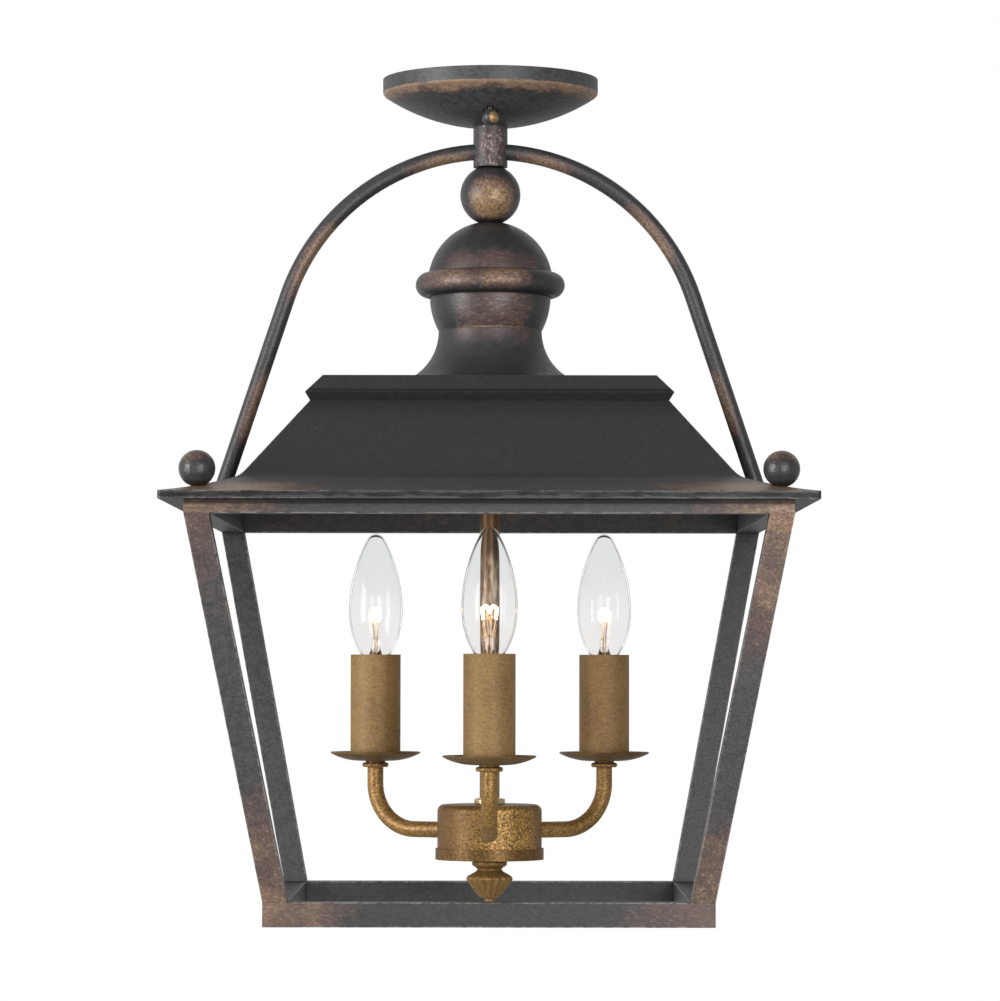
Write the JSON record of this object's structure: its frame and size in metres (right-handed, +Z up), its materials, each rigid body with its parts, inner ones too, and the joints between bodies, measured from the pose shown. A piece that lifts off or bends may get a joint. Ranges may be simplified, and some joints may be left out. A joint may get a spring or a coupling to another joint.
{
  "type": "lantern ceiling light",
  "caption": "Open square lantern for a ceiling: hip roof under a bow hoop, turned stem and round canopy, with candle lights on a hub inside a tapered tube cage.",
  "frame": {"origin": "middle of the canopy's upper rim, in the ceiling plane, halfway between the crossbar's two slots", "axes": "+Z up towards the ceiling, along the stem; +X to the right in the picture, in the hoop's plane; -Y towards the camera and the front candle"},
  "size_m": [0.363, 0.363, 0.4919],
  "materials": {
    "zinc_steel": "zinc plated",
    "black_bronze": "charcoal bronze, mottled brown, with gold rubbed through on edges",
    "stem_bronze": "satin brown bronze",
    "pale_brass": "satin",
    "antique_gold": "speckled antique gold",
    "lampholder": "matte",
    "bulb_glass": "clear",
    "bulb_base": "bright",
    "bulb_mount": "clear, with metal wires"
  },
  "bodies": {
    "fixture": {"crossbar": "zinc_steel", "canopy_studs": "zinc_steel", "stud_nuts": "zinc_steel", "canopy_lock_nut": "zinc_steel", "center_pipe": "zinc_steel", "roof_washer": "zinc_steel", "roof_nut": "zinc_steel", "arm_locknuts": "zinc_steel", "canopy": "black_bronze", "stem_collar": "black_bronze", "hoop_left": "black_bronze", "hoop_right": "black_bronze", "ball_spacer": "black_bronze", "dome_cap": "black_bronze", "bead_ring": "black_bronze", "dome_bowl": "black_bronze", "neck_flare": "black_bronze", "roof_cap": "black_bronze", "roof": "black_bronze", "corner_finials": "black_bronze", "top_rail_front": "black_bronze", "top_rail_rear": "black_bronze", "top_rail_left": "black_bronze", "top_rail_right": "black_bronze", "bottom_rail_front": "black_bronze", "bottom_rail_rear": "black_bronze", "bottom_rail_left": "black_bronze", "bottom_rail_right": "black_bronze", "corner_post_front_left": "black_bronze", "corner_post_front_right": "black_bronze", "corner_post_rear_left": "black_bronze", "corner_post_rear_right": "black_bronze", "stem_tube": "stem_bronze", "hub_nut": "pale_brass", "hub_cup": "antique_gold", "hub_cover": "antique_gold", "arm_rings": "antique_gold", "arm_1": "antique_gold", "arm_2": "antique_gold", "arm_3": "antique_gold", "bobeche_1": "antique_gold", "bobeche_2": "antique_gold", "bobeche_3": "antique_gold", "candle_sleeve_1": "antique_gold", "candle_sleeve_2": "antique_gold", "candle_sleeve_3": "antique_gold", "lampholders": "lampholder"},
    "bulb_1": {"bulb_glass_1": "bulb_glass", "bulb_base_1": "bulb_base", "bulb_mount_1": "bulb_mount"},
    "bulb_2": {"bulb_glass_2": "bulb_glass", "bulb_base_2": "bulb_base", "bulb_mount_2": "bulb_mount"},
    "bulb_3": {"bulb_glass_3": "bulb_glass", "bulb_base_3": "bulb_base", "bulb_mount_3": "bulb_mount"},
    "knob_front": {"canopy_knob_front": "black_bronze"},
    "knob_rear": {"canopy_knob_rear": "black_bronze"},
    "finial": {"hub_finial": "antique_gold"}
  },
  "joints": [
    {"name": "bulb_1_turn", "type": "hinge", "parent": "fixture", "child": "bulb_1", "pos_m": [0, -0.0788, -0.343], "axis": [0, 0, 1], "range_deg": [0, 1440]},
    {"name": "bulb_2_turn", "type": "hinge", "parent": "fixture", "child": "bulb_2", "pos_m": [0.06824, 0.0394, -0.343], "axis": [0, 0, 1], "range_deg": [0, 1440]},
    {"name": "bulb_3_turn", "type": "hinge", "parent": "fixture", "child": "bulb_3", "pos_m": [-0.06824, 0.0394, -0.343], "axis": [0, 0, 1], "range_deg": [0, 1440]},
    {"name": "knob_front_turn", "type": "hinge", "parent": "fixture", "child": "knob_front", "pos_m": [0, -0.0365, -0.0267], "axis": [0, 0, -1], "range_deg": [0, 1800]},
    {"name": "knob_rear_turn", "type": "hinge", "parent": "fixture", "child": "knob_rear", "pos_m": [0, 0.0365, -0.0267], "axis": [0, 0, -1], "range_deg": [0, 1800]},
    {"name": "hub_finial_turn", "type": "hinge", "parent": "fixture", "child": "finial", "pos_m": [0, 0, -0.4597], "axis": [0, 0, -1], "range_deg": [0, 1800]}
  ]
}
